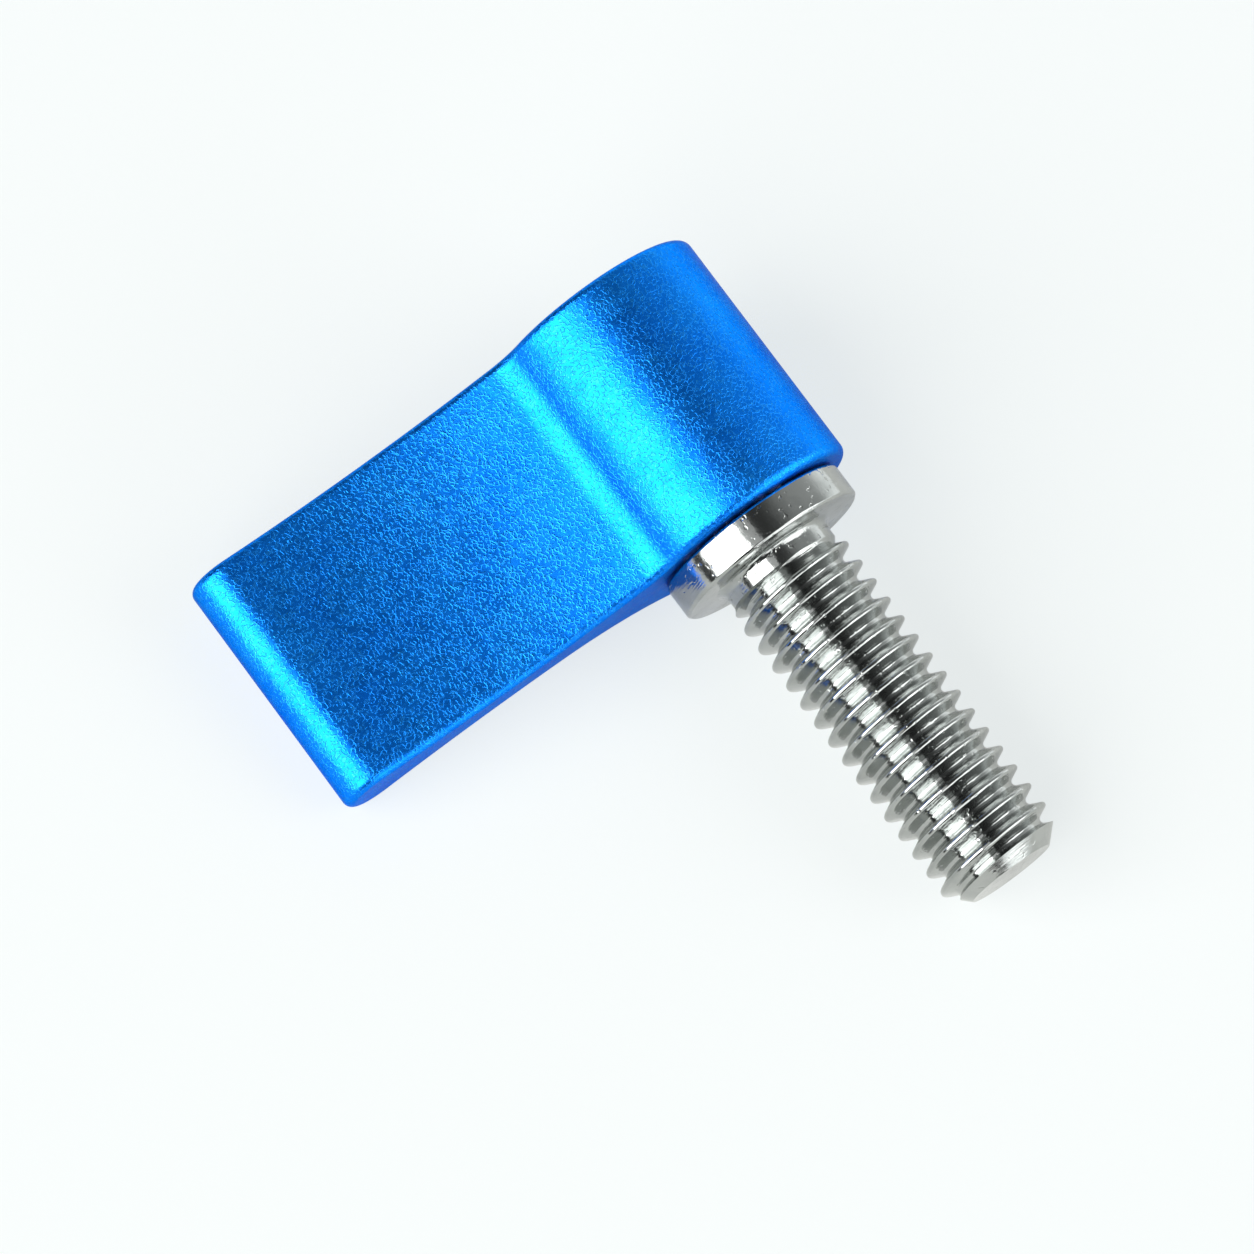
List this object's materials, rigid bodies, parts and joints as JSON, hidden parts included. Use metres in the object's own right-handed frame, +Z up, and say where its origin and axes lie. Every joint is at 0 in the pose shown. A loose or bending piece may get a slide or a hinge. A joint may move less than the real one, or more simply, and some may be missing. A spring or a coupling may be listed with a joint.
{
  "type": "l-handle thumb screw",
  "caption": "Blue L-shaped lever on a flanged M6 stud; lifts against a spring to turn to another position, then tightens the screw by hand.",
  "frame": {"origin": "middle of the part's box, on the table that it rests on", "axes": "+Z up from the table, +Y towards the screw's tip, +X towards the blade's end; the screw's axis lies in a plane across X and drops 7.14 degrees towards its tip, because the part rests on the hub's lower rim, the blade's end and the tip"},
  "size_m": [0.026, 0.031, 0.0117],
  "materials": {
    "lever": "bead blasted and blue anodised",
    "stud": "turned, bright plated",
    "spring": "drawn spring wire",
    "screw": "bright plated"
  },
  "bodies": {
    "stud": {"threaded_stud": "stud", "retaining_screw": "screw"},
    "spring": {"return_spring": "spring"},
    "lever": {"lever_handle": "lever"}
  },
  "joints": [
    {"name": "lever_index", "type": "hinge", "parent": "stud", "child": "spring", "pos_m": [-0.0078, -0.00164, 0.0049], "axis": [0, -0.9923, 0.1242], "continuous": true},
    {"name": "lever_lift", "type": "slide", "parent": "spring", "child": "lever", "axis": [0, -0.9923, 0.1242], "range_m": [0, 0.0023], "stiffness_N_per_m": 430, "springref_m": -0.0024, "deforming": ["return_spring"]}
  ]
}
